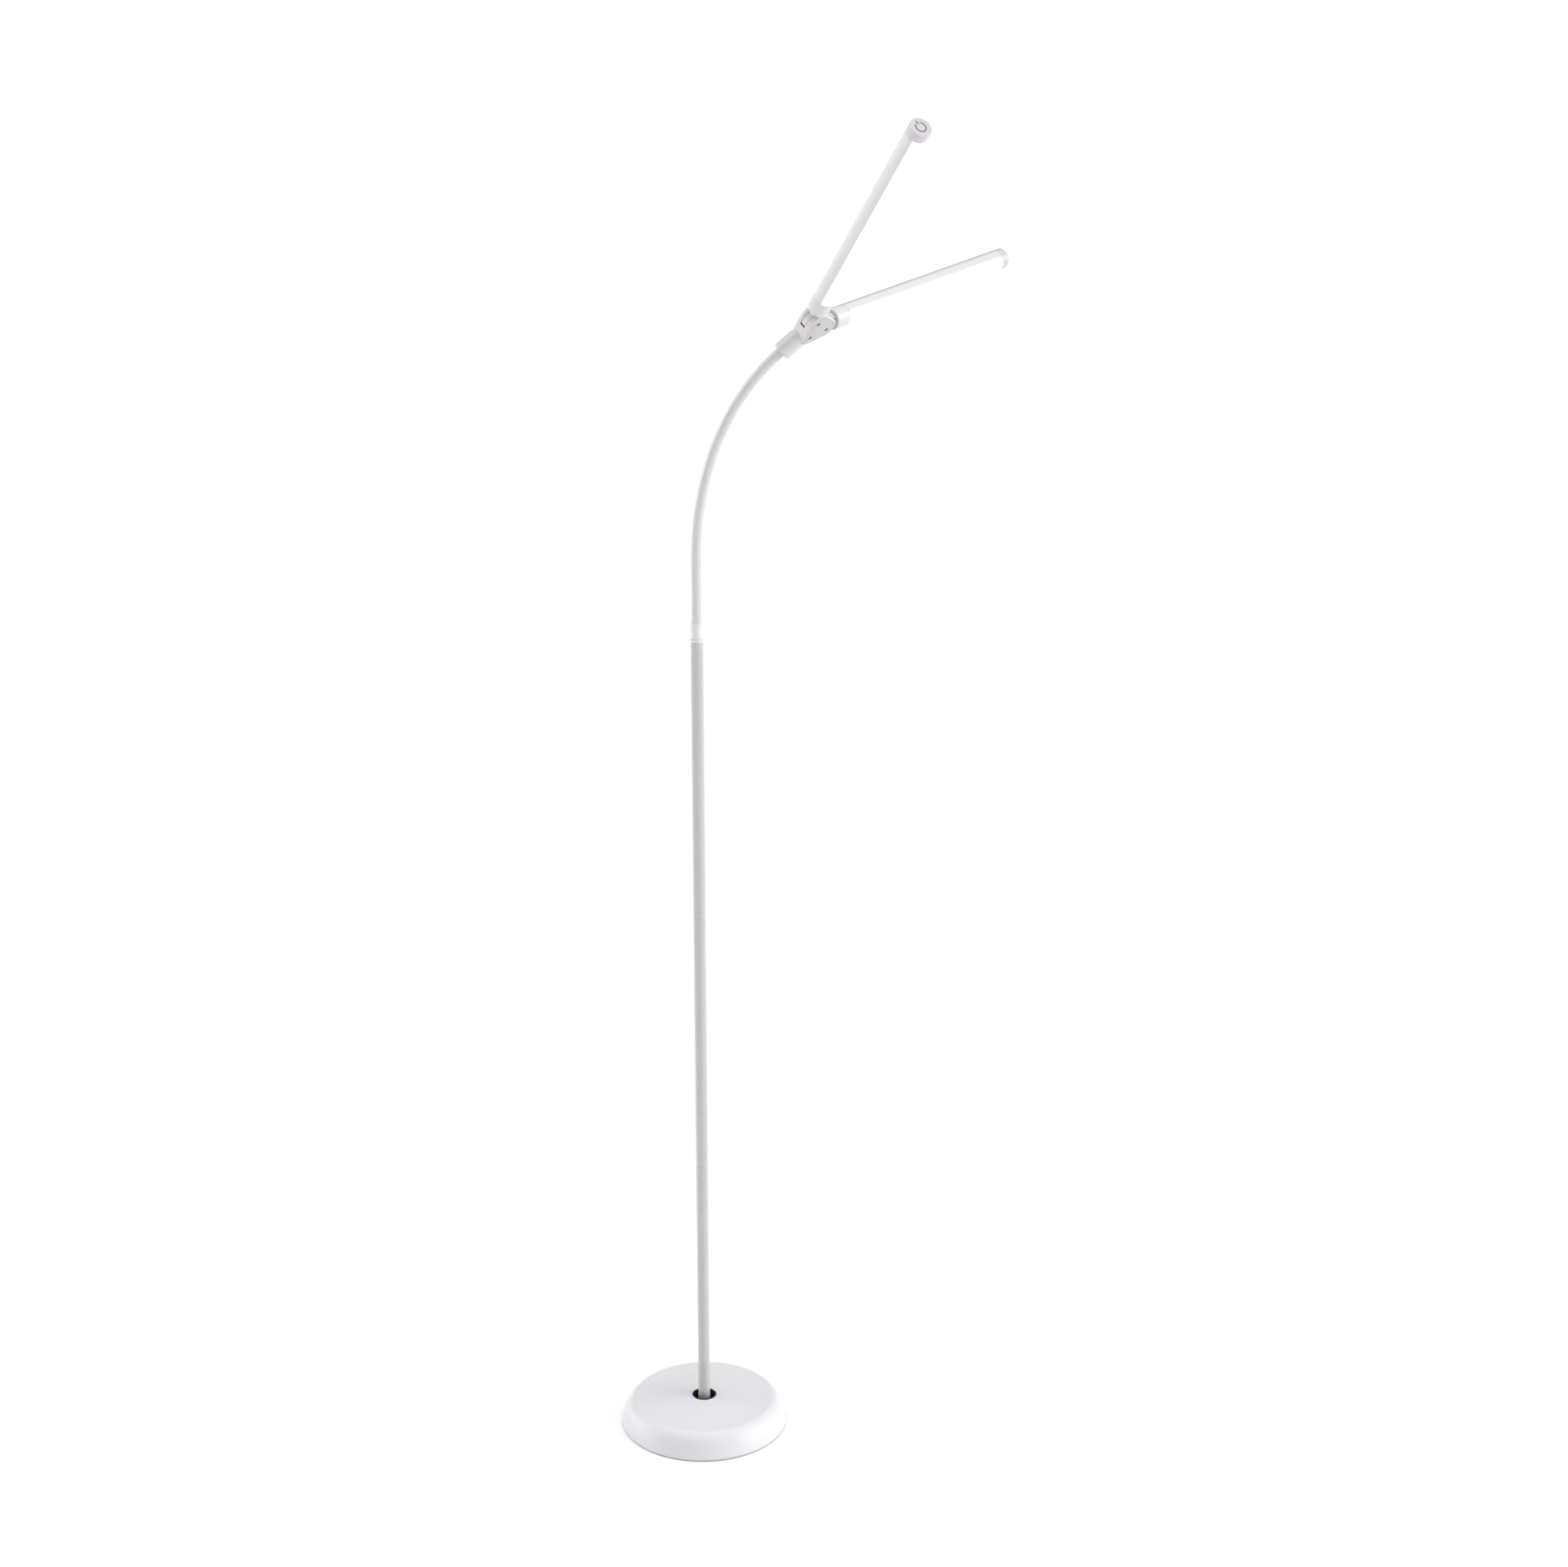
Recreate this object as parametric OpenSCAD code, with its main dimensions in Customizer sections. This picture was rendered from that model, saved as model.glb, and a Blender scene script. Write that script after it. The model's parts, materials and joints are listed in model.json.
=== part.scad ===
// Adjustable arm floor lamp: a weighted dome base, a three-piece pole, a flexible gooseneck
// and a head with two tubular light arms that swing on vertical pivots in a shared hub.
// Millimetres. The origin is on the floor under the pole, +Z is up, and the neck bends towards +X.

/* [Base] */
// Diameter of the dome at its rim
base_d = 220; // [180:1:280]
// Height of the dome at its centre
base_h = 37.7; // [34:0.1:46]
// Height that the middle of the dome rises above its shoulder
crown_h = 4.2; // [2:0.1:8]
// Radial width of the rounded shoulder
shoulder_w = 22; // [15:1:30]
// Wall of the dome
base_wall = 2.2; // [1.6:0.1:3]
// Thickness of the pad under the base
pad_t = 1.7; // [1:0.1:3]
// Thickness of the iron weight
weight_t = 12.8; // [8:0.1:13]
// Diameter of the hole in the top of the dome
recess_d = 31.6; // [28:0.1:40]

/* [Pole] */
// Outer diameter of the pole
pole_d = 16; // [15:0.5:18]
// Wall of the pole's tubes
pole_wall = 1.4; // [1:0.1:2]
// Height at which the lowest tube starts
pole_start = 39.3; // [38:0.1:42]
// Height of the lower seam
seam_low = 373; // [300:1:420]
// Height of the upper seam
seam_high = 725; // [600:1:800]
// Height at which the top tube ends
pole_end = 1074.5; // [900:0.5:1200]
// Height of the ring on top of the pole
ring_h = 3.5; // [2:0.5:6]
// Height of the connector that holds the gooseneck
connector_h = 20; // [15:1:30]

/* [Gooseneck] */
// Outer diameter of the sleeve
neck_d = 12.6; // [11:0.1:14]
// Visible length of the gooseneck
neck_length = 360; // [340:1:380]
// Length of the neck's straight lower part
neck_straight = 68; // [60:1:80]
// Tilt of the neck's upper end from vertical
neck_tilt = 48.6; // [0:0.1:70]
// How late the bend gathers along the neck
bend_power = 1.27; // [1:0.01:2]
// Length of neck from one bending point to the next
link_pitch = 50; // [46:1:50]
// Turn of the head about the neck's end
head_roll = -23.4; // [-60:0.1:60]

/* [Head] */
// Thickness of the hub
hub_t = 21.6; // [20:0.1:24]
// Radius of the hub's corners about the pivots
hub_corner_r = 15; // [14:0.1:15]
// Distance of the pivots forward of the head's centre
pivot_x = 16.5; // [16:0.1:18]
// Distance of each pivot from the neck's axis
pivot_y = 15.5; // [15.5:0.1:18]
// Diameter of the collar
collar_d = 23; // [20:0.1:24]
// Length of the collar
collar_l = 26; // [24:1:30]

/* [Arms] */
// Length from pivot to the tip of an arm
arm_l = 334.5; // [250:0.5:400]
// Diameter of an arm
arm_d = 25.8; // [25:0.1:27]
// Angle of the first arm from the neck's axis
arm_1_angle = -43.4; // [-90:0.1:0]
// Angle of the second arm from the neck's axis
arm_2_angle = 53.3; // [0:0.1:90]
// Half of the angle that the light window takes of an arm's round
window_half = 62; // [50:1:70]
// Distance from the pivot to the light window
window_start = 39; // [34:0.5:50]
// Length of the end cap
cap_l = 12; // [10:0.5:16]

/* [Hidden] */
$fn = 64;
eps = 0.01;

// Colours
white = [0.94, 0.94, 0.95];
light_window = [1, 0.97, 0.9];
nickel = [0.75, 0.74, 0.72];
iron = [0.25, 0.25, 0.26];
black = [0.06, 0.06, 0.07];
board_green = [0.1, 0.35, 0.2];
mark_grey = [0.55, 0.56, 0.6];

// Base
base_r = base_d / 2;
plate_t = 1.5;
plate_top = pad_t + plate_t;
weight_top = plate_top + weight_t;
weight_r = base_r - 12;
shoulder_h = 41.6;
shoulder_z = base_h - crown_h;
recess_r = recess_d / 2;
cup_wall = 1.4;
screw_ring_r = 70;
screw_r = 2;
stub_thread_r = 5;
nut_pocket_r = 11;
nut_z = plate_top + 0.6;
nut_h = 5;
lead_r = 2;
lead_hole_r = 3;
inlet_z = 9.5;
inlet_y = 108.8;
inlet_bore_r = 2.8;
inlet_bore_l = 10;
inlet_nose_r = 5;
inlet_case = [11, 16, 10.6];

// Pole
pole_r = pole_d / 2;
pole_bore_r = pole_r - pole_wall;
coupler_half = 20;
ring_top = pole_end + ring_h;
connector_top = ring_top + connector_h;
connector_r = 7.3;
stem_r = 5;
flare_r = 7;
flare_l = 9;

// Gooseneck
neck_r = neck_d / 2;
link_count = 6;
first_hinge = neck_length - link_count * link_pitch;
hinge_gap = 4.2;
ball_r = 3.4;
seat_r = 3.75;
neck_foot = connector_top;
ferrule_r = 8.5;
ferrule_start = 4.5;
ferrule_l = 12;

// Tilt of the neck's centreline from vertical, s along it from its foot
function tilt(s) = s <= neck_straight ? 0
    : neck_tilt * pow((s - neck_straight) / (neck_length - neck_straight), bend_power);
// Distance along the neck of bending point k
function hinge_s(k) = first_hinge + (k - 1) * link_pitch;
// Place [x, z] at the end of a round arc that starts at p with tilt a and ends with tilt b
function arc_end(p, a, b, l) = let (
    half = (b - a) / 2,
    chord = half == 0 ? l : l * sin(half) / (half * PI / 180)
) p + chord * [sin(a + half), cos(a + half)];
// Place [x, z] of bending point k
function hinge_at(k) = k == 1 ? arc_end([0, neck_foot], 0, tilt(first_hinge), first_hinge)
    : arc_end(hinge_at(k - 1), tilt(hinge_s(k - 1)), tilt(hinge_s(k)), link_pitch);
function link_end_s(k) = k == link_count ? neck_length : hinge_s(k + 1);
neck_end = arc_end(
    hinge_at(link_count), tilt(hinge_s(link_count)), neck_tilt, neck_length - hinge_s(link_count)
);

// Head
hub_back = -14;
collar_back = hub_back - collar_l;
collar_ears = 5.4;
head_at = neck_end - collar_back * [sin(neck_tilt), cos(neck_tilt)];
hub_apex_r = 7;
side_support = hub_corner_r + (pivot_y - pivot_x) * sqrt(0.5);
hub_apex_x = (hub_apex_r - side_support) / sqrt(0.5);
hub_back_half = hub_back + hub_corner_r * sqrt(2) + pivot_y - pivot_x;
hub_top_round = 5;
hub_bevel = 1.2;
hub_wall = 1.8;
slot_half = 4;
slot_r = 16.3;
slot_front = 11.5;
boss_r = 5.5;
screw_a_x = -2.6;
hub_screw_r = 1.5;
hub_head_r = 2.5;
hub_head_h = 2.8;
counterbore_r = 2.75;
counterbore_depth = 3.2;
bush_r = 3;
washer_t = 0.3;
control_z = 6;
control_t = 1.6;

// Arms
arm_r = arm_d / 2;
knuckle_r = 14.8;
knuckle_half = 3.6;
knuckle_bore_r = bush_r + 0.05;
tongue_half = 9;
arm_start = 17.3;
shell_wall = 1.4;
arm_bore_r = arm_r - shell_wall;
plug_start = arm_start + 0.6;
plug_end = 34;
window_end = arm_l - cap_l;
web_z = -5.2;
web_t = 1.2;
led_board_t = 1.2;
led_board_half = 9.2;
led_pitch = 14;
led_size = [3.5, 2.8, 0.8];
cap_round = 0.8;
cap_wall = 1.5;
spigot_l = 3;
web_margin = 3.5;
arm_lead_r = 1.2;
symbol_r = 0.47 * arm_r;
symbol_stroke = 0.09 * arm_r;
symbol_depth = 0.3;
symbol_gap = 34;
symbol_bar = [0.33 * arm_r, 0.7 * arm_r];

// ---------- shared shapes ----------

// Round bar or tube from z0 to z1
module tube(r, z0, z1, bore = 0) {
    translate([0, 0, z0]) difference() {
        cylinder(r = r, h = z1 - z0);
        if (bore > 0) translate([0, 0, -1]) cylinder(r = bore, h = z1 - z0 + 2);
    }
}

// Turns children's +Z to +X
module along_x() rotate([0, 90, 0]) children();

// Angle on the shoulder's ellipse of the dome's foot, where the shoulder ends at height top
function foot_angle(top) = asin((pad_t - top + shoulder_h) / shoulder_h);
// Points [r, z] of the dome's outline, shrunk by inset, from its foot up to the recess
function dome_line(inset) = let (
    flat_r = base_r - shoulder_w * cos(foot_angle(shoulder_z)) - inset,
    top = shoulder_z - inset,
    start = foot_angle(top)
) concat(
    [for (i = [0 : 12]) let (t = start + (90 - start) * i / 12)
        [flat_r + shoulder_w * cos(t), top - shoulder_h + shoulder_h * sin(t)]],
    [for (i = [1 : 7]) let (r = flat_r + (recess_r - flat_r) * i / 7)
        [r, top + crown_h * (1 + cos(180 * r / flat_r)) / 2]]
);
function reversed(points) = [for (i = [len(points) - 1 : -1 : 0]) points[i]];

// Puts children at place p = [x, z] of the neck's plane, tilted by a from vertical
module at_point(p, a) translate([p[0], 0, p[1]]) rotate([0, a, 0]) children();

// Bar of radius r and length l, bent from tilt a to tilt b, starting at the origin along +Z and
// shortened at each end; a negative trim makes it longer
module arc_bar(a, b, l, r, trim_start, trim_end) {
    if (b - a < 0.01) {
        tube(r, trim_start, l - trim_end);
    } else {
        bend_r = l / ((b - a) * PI / 180);
        start = trim_start / l * (b - a);
        sweep = (b - a) * (1 - (trim_start + trim_end) / l);
        translate([bend_r, 0, 0]) rotate([90, 0, 0])
            rotate([0, 0, 180 - start - sweep]) rotate_extrude(angle = sweep, $fn = 96)
                translate([bend_r, 0]) circle(r = r);
    }
}

// One link of the gooseneck: a ball at its foot and a seat for the next ball at its head
module neck_link(k) {
    a = tilt(hinge_s(k));
    b = tilt(link_end_s(k));
    l = link_end_s(k) - hinge_s(k);
    last = k == link_count;
    color(white) difference() {
        at_point(hinge_at(k), a) {
            arc_bar(a, b, l, neck_r, hinge_gap / 2, last ? 0.3 - ferrule_start : hinge_gap / 2);
            sphere(r = ball_r);
            tube(ball_r / 2, 0, hinge_gap);
        }
        if (!last) at_point(hinge_at(k + 1), b) sphere(r = seat_r);
    }
}

// Places children in the head's frame: +X forward along the neck, +Z on the side away from the lights
module in_head() translate([head_at[0], 0, head_at[1]]) rotate([head_roll, neck_tilt - 90, 0]) children();

// Places children at a pivot, side -1 or 1, turned to an arm's angle
module at_pivot(side, angle = 0) in_head() translate([pivot_x, side * pivot_y, 0]) rotate([0, 0, angle]) children();

// Disc with a rounded top edge and a bevelled lower edge
module hub_puck(r) {
    h = hub_t / 2;
    top_round = min(hub_top_round, r - 1);
    rotate_extrude($fn = 32) polygon(concat(
        [[0, -h], [r - hub_bevel, -h], [r, -h + hub_bevel]],
        [for (i = [0 : 5]) [r - top_round + top_round * cos(18 * i), h - top_round + top_round * sin(18 * i)]],
        [[0, h]]
    ));
}

// Outside of the hub, both halves
module hub_form() intersection() {
    hull() {
        for (side = [-1, 1]) translate([pivot_x, side * pivot_y, 0]) hub_puck(hub_corner_r);
        translate([hub_apex_x, 0, 0]) hub_puck(hub_apex_r);
    }
    translate([hub_back, -50, -hub_t]) cube([100, 100, 2 * hub_t]);
}

// Room for the arms' knuckles between the hub's halves
module hub_slot() {
    for (side = [-1, 1]) translate([pivot_x, side * pivot_y, 0]) tube(slot_r, -slot_half, slot_half);
    translate([slot_front, -40, -slot_half]) cube([40, 80, 2 * slot_half]);
}

// Places children at the three screws of the hub
module hub_screw_places() {
    translate([screw_a_x, 0, 0]) children();
    for (side = [-1, 1]) translate([pivot_x, side * pivot_y, 0]) children();
}

// Sector of an arm's round between angle from and to, seen along the arm, 0 at the lights' side
module arm_sector(from, to, z0, z1) {
    reach = 60;
    steps = 6;
    along_x() translate([0, 0, z0]) linear_extrude(z1 - z0) polygon(concat([[0, 0]],
        [for (i = [0 : steps]) let (t = from + (to - from) * i / steps) reach * [cos(t), sin(t)]]));
}

// ---------- base ----------

module base_pad() {
    color(black) difference() {
        tube(base_r - 2.5, 0, pad_t);
        base_screw_places() tube(4.4, -1, pad_t + 1);
    }
}

module base_screw_places() for (i = [0 : 3]) rotate([0, 0, 45 + 90 * i]) translate([screw_ring_r, 0, 0]) children();

module base_plate() {
    color(iron) difference() {
        tube(base_r - base_wall - 0.6, pad_t, plate_top);
        base_screw_places() tube(screw_r, 0, plate_top + 1);
    }
}

module base_weight() {
    color(iron) difference() {
        tube(weight_r, plate_top, weight_top);
        tube(stub_thread_r + 0.2, 0, weight_top + 1);
        tube(nut_pocket_r, 0, nut_z + nut_h);
        base_screw_places() tube(screw_r, 0, 12);
        translate([-inlet_case[0] / 2 - 1, weight_r - 12, 0]) cube([inlet_case[0] + 2, 30, 40]);
    }
}

module base_shell() {
    color(white) difference() {
        rotate_extrude($fn = 128) polygon(concat(dome_line(0), reversed(dome_line(base_wall))));
        translate([0, weight_r - 5, inlet_z]) rotate([-90, 0, 0]) cylinder(r = inlet_nose_r + 0.2, h = 40);
    }
}

module base_screws() {
    color(nickel) base_screw_places() {
        tube(screw_r, pad_t - 0.1, 11);
        tube(3.8, 0.5, pad_t);
    }
}

module recess_cup() {
    color(black) {
        tube(recess_r - 0.1, weight_top, base_h - 0.6, recess_r - cup_wall);
        tube(recess_r - cup_wall, weight_top, weight_top + 1.5, pole_r + 0.1);
    }
}

module pole_stub() {
    color(nickel) difference() {
        union() {
            tube(stub_thread_r, nut_z, weight_top);
            tube(pole_r, weight_top, pole_start);
            tube(pole_bore_r, pole_start - eps, pole_start + 30);
        }
        tube(lead_hole_r, 0, pole_start + 40);
    }
}

module stub_nut() {
    color(nickel) difference() {
        translate([0, 0, nut_z]) cylinder(r = 9, h = nut_h, $fn = 6);
        tube(stub_thread_r, 0, 20);
    }
}

module dc_inlet() {
    color(black) difference() {
        union() {
            translate([-inlet_case[0] / 2, inlet_y - 5.6 - inlet_case[1], inlet_z - inlet_case[2] / 2])
                cube(inlet_case);
            translate([0, inlet_y - 6, inlet_z]) rotate([-90, 0, 0]) cylinder(r = inlet_nose_r, h = 6);
        }
        translate([0, inlet_y - inlet_bore_l, inlet_z]) rotate([-90, 0, 0])
            cylinder(r = inlet_bore_r, h = inlet_bore_l + 1);
    }
}

// ---------- pole ----------

module pole_lower() color(white) tube(pole_r, pole_start, seam_low, pole_bore_r);
module pole_middle() color(white) tube(pole_r, seam_low, seam_high, pole_bore_r);
module pole_upper() color(white) tube(pole_r, seam_high, pole_end, pole_bore_r);
module coupler(z) color(nickel) tube(pole_bore_r, z - coupler_half, z + coupler_half, lead_hole_r);
module pole_ring() color(white) tube(pole_r + 0.4, pole_end, ring_top, stem_r);

module neck_connector() {
    color(white) {
        tube(connector_r, ring_top, connector_top, lead_hole_r);
        tube(stem_r, pole_end - eps, ring_top + eps, lead_hole_r);
        tube(pole_bore_r, pole_end - 15, pole_end, lead_hole_r);
    }
}

module pole_lead() color(black) tube(lead_r, nut_z, connector_top - 2);

// ---------- gooseneck ----------

module neck_root() {
    color(white) difference() {
        union() {
            translate([0, 0, neck_foot]) cylinder(r1 = flare_r, r2 = neck_r, h = flare_l);
            tube(neck_r, neck_foot + flare_l - eps, hinge_at(1)[1] - hinge_gap / 2);
        }
        at_point(hinge_at(1), 0) sphere(r = seat_r);
    }
}

module neck_ferrule() {
    color(nickel) at_point(neck_end, neck_tilt) tube(ferrule_r, ferrule_start, ferrule_start + ferrule_l);
}

// ---------- head ----------

// The collar's two ears fill the corners beside the hub's narrow back
module neck_collar() {
    half = hub_back_half + 0.05;
    color(white) in_head() difference() {
        translate([collar_back, 0, 0]) along_x() difference() {
            tube(collar_d / 2, 0, collar_l + collar_ears);
            tube(neck_r + 0.3, -1, ferrule_start);
            tube(ferrule_r + 0.05, ferrule_start - 0.3, ferrule_start + ferrule_l + 0.3);
        }
        translate([hub_back, 0, -20]) linear_extrude(40)
            polygon([[0, -half], [20, -half - 20], [20, half + 20], [0, half]]);
    }
}

module hub_body() {
    color(white) in_head() difference() {
        intersection() {
            hub_form();
            translate([-50, -50, -slot_half]) cube([100, 100, hub_t]);
        }
        hub_slot();
        difference() {
            hull() {
                for (side = [-1, 1]) translate([pivot_x, side * pivot_y, 0])
                    tube(hub_corner_r - hub_top_round, slot_half - 1, hub_t / 2 - hub_wall, $fn = 32);
                translate([hub_apex_x + 4, 0, 0])
                    tube(3, slot_half - 1, hub_t / 2 - hub_wall, $fn = 32);
            }
            hub_screw_places() tube(boss_r, 0, hub_t);
            translate([-50, -50, -hub_t]) cube([100, 100, hub_t + slot_half]);
        }
        hub_screw_places() tube(hub_screw_r, -hub_t, hub_t / 2 - hub_wall);
    }
}

module hub_cover() {
    color(white) in_head() difference() {
        intersection() {
            hub_form();
            translate([-50, -50, -hub_t]) cube([100, 100, hub_t - slot_half]);
        }
        hub_screw_places() {
            tube(hub_screw_r, -hub_t, 0);
            tube(counterbore_r, -hub_t, -hub_t / 2 + counterbore_depth);
        }
    }
}

module hub_screws() {
    head_top = -hub_t / 2 + counterbore_depth;
    color(nickel) in_head() hub_screw_places() {
        tube(hub_head_r, head_top - hub_head_h, head_top);
        tube(hub_screw_r, head_top - eps, hub_t / 2 - hub_wall - 1);
    }
}

module pivot_bushes() {
    color(nickel) for (side = [-1, 1]) at_pivot(side) tube(bush_r, -slot_half, slot_half, hub_screw_r);
}

module friction_washers() {
    color(black) for (side = [-1, 1]) at_pivot(side) {
        tube(boss_r, slot_half - washer_t, slot_half, bush_r);
        tube(boss_r, -slot_half, -slot_half + washer_t, bush_r);
    }
}

module control_board() {
    color(board_green) in_head() difference() {
        hull() {
            for (side = [-1, 1]) translate([pivot_x, side * pivot_y, 0])
                tube(hub_corner_r - hub_top_round - 0.6, control_z, control_z + control_t, $fn = 32);
            translate([hub_apex_x + 5, 0, 0]) tube(2.4, control_z, control_z + control_t, $fn = 32);
        }
        hub_screw_places() tube(boss_r + 0.4, 0, hub_t);
    }
}

// ---------- arms ----------

module arm_knuckle() {
    difference() {
        union() {
            tube(knuckle_r, -knuckle_half, knuckle_half);
            translate([5, -tongue_half, -knuckle_half]) cube([plug_start - 4, 2 * tongue_half, 2 * knuckle_half]);
            along_x() tube(arm_bore_r, plug_start, plug_end);
        }
        tube(knuckle_bore_r, -20, 20);
        along_x() tube(arm_lead_r + 0.2, plug_start + 3, plug_end + 1);
    }
}

module arm_sleeve() along_x() tube(arm_r, arm_start, window_start, arm_bore_r);

module arm_shell() {
    difference() {
        along_x() tube(arm_r, window_start, window_end, arm_bore_r);
        arm_sector(-window_half, window_half, window_start - 1, window_end + 1);
    }
    intersection() {
        translate([window_start, -arm_r, web_z]) cube([window_end - web_margin - window_start, 2 * arm_r, web_t]);
        along_x() tube(arm_bore_r + 0.3, window_start, window_end);
    }
}

module arm_lens() {
    half = window_half - 0.4;
    intersection() {
        along_x() tube(arm_r, window_start, window_end, arm_bore_r);
        arm_sector(-half, half, window_start, window_end);
    }
}

module arm_led_board() {
    translate([window_start + 2, -led_board_half, web_z - led_board_t])
        cube([window_end - window_start - 2 - web_margin - 1, 2 * led_board_half, led_board_t]);
}

module arm_leds() {
    count = floor((window_end - window_start - 30) / led_pitch) + 1;
    first = (window_start + window_end - web_margin - (count - 1) * led_pitch) / 2;
    for (i = [0 : count - 1])
        translate([first + i * led_pitch - led_size[0] / 2, -led_size[1] / 2, web_z - led_board_t - led_size[2]])
            cube(led_size);
}

module arm_lead() along_x() tube(arm_lead_r, plug_start + 3, window_start + 6);

// Cap with a rounded outer edge and a spigot in the tube
module arm_end_cap(symbol_pocket) {
    along_x() difference() {
        union() {
            translate([0, 0, window_end]) rotate_extrude() polygon(concat(
                [[0, 0], [arm_r, 0]],
                [for (i = [0 : 4]) [arm_r - cap_round + cap_round * cos(22.5 * i),
                                    cap_l - cap_round + cap_round * sin(22.5 * i)]],
                [[0, cap_l]]
            ));
            tube(arm_bore_r - 0.1, window_end - spigot_l, window_end + 1);
        }
        tube(arm_bore_r - 1.1, window_end - spigot_l - 1, arm_l - cap_wall);
        if (symbol_pocket) symbol_marks();
    }
}

// Power mark: an open ring and a bar, both in the cap's end face
module symbol_marks() {
    translate([0, 0, arm_l - symbol_depth]) {
        rotate([0, 0, 180 + symbol_gap]) rotate_extrude(angle = 360 - 2 * symbol_gap)
            translate([symbol_r - symbol_stroke / 2, 0]) square([symbol_stroke, symbol_depth]);
        translate([-symbol_bar[1], -symbol_stroke / 2, 0])
            cube([symbol_bar[1] - symbol_bar[0], symbol_stroke, symbol_depth]);
    }
}

module touch_sensor() {
    color(board_green) at_pivot(-1, arm_1_angle) along_x() tube(7, arm_l - cap_wall - 1.2, arm_l - cap_wall);
}

module touch_symbol() color(mark_grey) at_pivot(-1, arm_1_angle) along_x() symbol_marks();

// Every piece of one arm in place: n is 1 or 2
module arm_piece(n, piece) {
    at_pivot(n == 1 ? -1 : 1, n == 1 ? arm_1_angle : arm_2_angle) {
        if (piece == "knuckle") color(white) arm_knuckle();
        if (piece == "sleeve") color(white) arm_sleeve();
        if (piece == "shell") color(white) arm_shell();
        if (piece == "lens") color(light_window) arm_lens();
        if (piece == "led_board") color(white) arm_led_board();
        if (piece == "leds") color(light_window) arm_leds();
        if (piece == "lead") color(black) arm_lead();
        if (piece == "end_cap") color(white) arm_end_cap(n == 1);
    }
}

base_pad();
base_plate();
base_weight();
base_shell();
base_screws();
recess_cup();
pole_stub();
stub_nut();
dc_inlet();
pole_lower();
pole_middle();
pole_upper();
coupler(seam_low);  // coupler_lower
coupler(seam_high);  // coupler_upper
pole_ring();
neck_connector();
pole_lead();
neck_root();
for (k = [1 : link_count])
    neck_link(k);
neck_ferrule();
neck_collar();
hub_body();
hub_cover();
hub_screws();
pivot_bushes();
friction_washers();
control_board();
for (n = [1, 2], piece = ["knuckle", "sleeve", "shell", "lens", "led_board", "leds", "lead", "end_cap"])
    arm_piece(n, piece);
touch_sensor();
touch_symbol();
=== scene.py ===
"""Adjustable arm floor lamp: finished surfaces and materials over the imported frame.

Everything is in metres in the frame's own axes: +Z up along the pole, +X the way the gooseneck bends.
"""

import json
import math

import bpy
import numpy as np
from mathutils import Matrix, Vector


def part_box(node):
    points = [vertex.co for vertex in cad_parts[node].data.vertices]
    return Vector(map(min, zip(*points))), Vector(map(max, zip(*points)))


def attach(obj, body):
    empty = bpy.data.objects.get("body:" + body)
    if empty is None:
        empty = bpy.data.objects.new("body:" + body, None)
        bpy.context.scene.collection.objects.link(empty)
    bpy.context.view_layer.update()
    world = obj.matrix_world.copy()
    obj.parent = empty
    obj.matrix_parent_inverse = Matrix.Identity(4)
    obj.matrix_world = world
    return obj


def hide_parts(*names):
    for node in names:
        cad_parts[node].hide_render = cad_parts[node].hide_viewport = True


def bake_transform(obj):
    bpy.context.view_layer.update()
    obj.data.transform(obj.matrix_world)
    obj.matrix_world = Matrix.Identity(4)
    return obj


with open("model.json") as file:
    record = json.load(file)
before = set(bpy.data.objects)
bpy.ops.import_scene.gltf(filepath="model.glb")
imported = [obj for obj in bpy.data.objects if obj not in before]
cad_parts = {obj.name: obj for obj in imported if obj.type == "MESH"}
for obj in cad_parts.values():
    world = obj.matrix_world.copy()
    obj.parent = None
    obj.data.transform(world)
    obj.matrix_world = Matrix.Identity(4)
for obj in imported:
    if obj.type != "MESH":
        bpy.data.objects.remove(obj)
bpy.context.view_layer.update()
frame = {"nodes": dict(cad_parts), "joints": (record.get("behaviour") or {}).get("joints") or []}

MM = 0.001
nodes = frame["nodes"]
joints = {j["name"]: j for j in frame["joints"]}


# ---------------------------------------------------------------- places taken from the frame

def low(node, axis=2):
    """Lowest coordinate of a CAD node along one axis."""
    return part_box(node)[0][axis]


def high(node, axis=2):
    """Highest coordinate of a CAD node along one axis."""
    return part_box(node)[1][axis]


def unit(v):
    v = np.asarray(v, float)
    return v / np.linalg.norm(v)


def placed(origin, x_axis, z_axis):
    """4x4 matrix of a right-handed frame from its origin, its X axis and its Z axis."""
    x, z = unit(x_axis), unit(z_axis)
    m = np.eye(4)
    m[:3, 0], m[:3, 1], m[:3, 2], m[:3, 3] = x, np.cross(z, x), z, origin
    return m


def moved(m, points):
    """Points carried by a 4x4 matrix."""
    p = np.asarray(points, float)
    return p @ m[:3, :3].T + m[:3, 3]


STAND = np.eye(4)
head_axis = unit(joints["head_turn"]["axis"])
swing_axis = unit(joints["arm_1_swing"]["axis"])
head_origin = np.array(joints["head_turn"]["pos_m"])
HEAD = placed(head_origin, head_axis, swing_axis)


def arm_frame(n):
    """Frame of arm n: origin on its pivot, X along the arm, Z on the side away from the light."""
    joint = joints[f"arm_{n}_swing"]
    lined_up = math.radians(joint["range_deg"][1] if n == 1 else joint["range_deg"][0])
    along = math.cos(lined_up) * HEAD[:3, 0] - math.sin(lined_up) * HEAD[:3, 1]
    return placed(joint["pos_m"], along, swing_axis)


ARM = {n: arm_frame(n) for n in (1, 2)}
pivot_local = np.linalg.inv(HEAD) @ np.append(joints["arm_2_swing"]["pos_m"], 1)
pivot_x, pivot_y = pivot_local[0], abs(pivot_local[1])


# ---------------------------------------------------------------- mesh making

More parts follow.
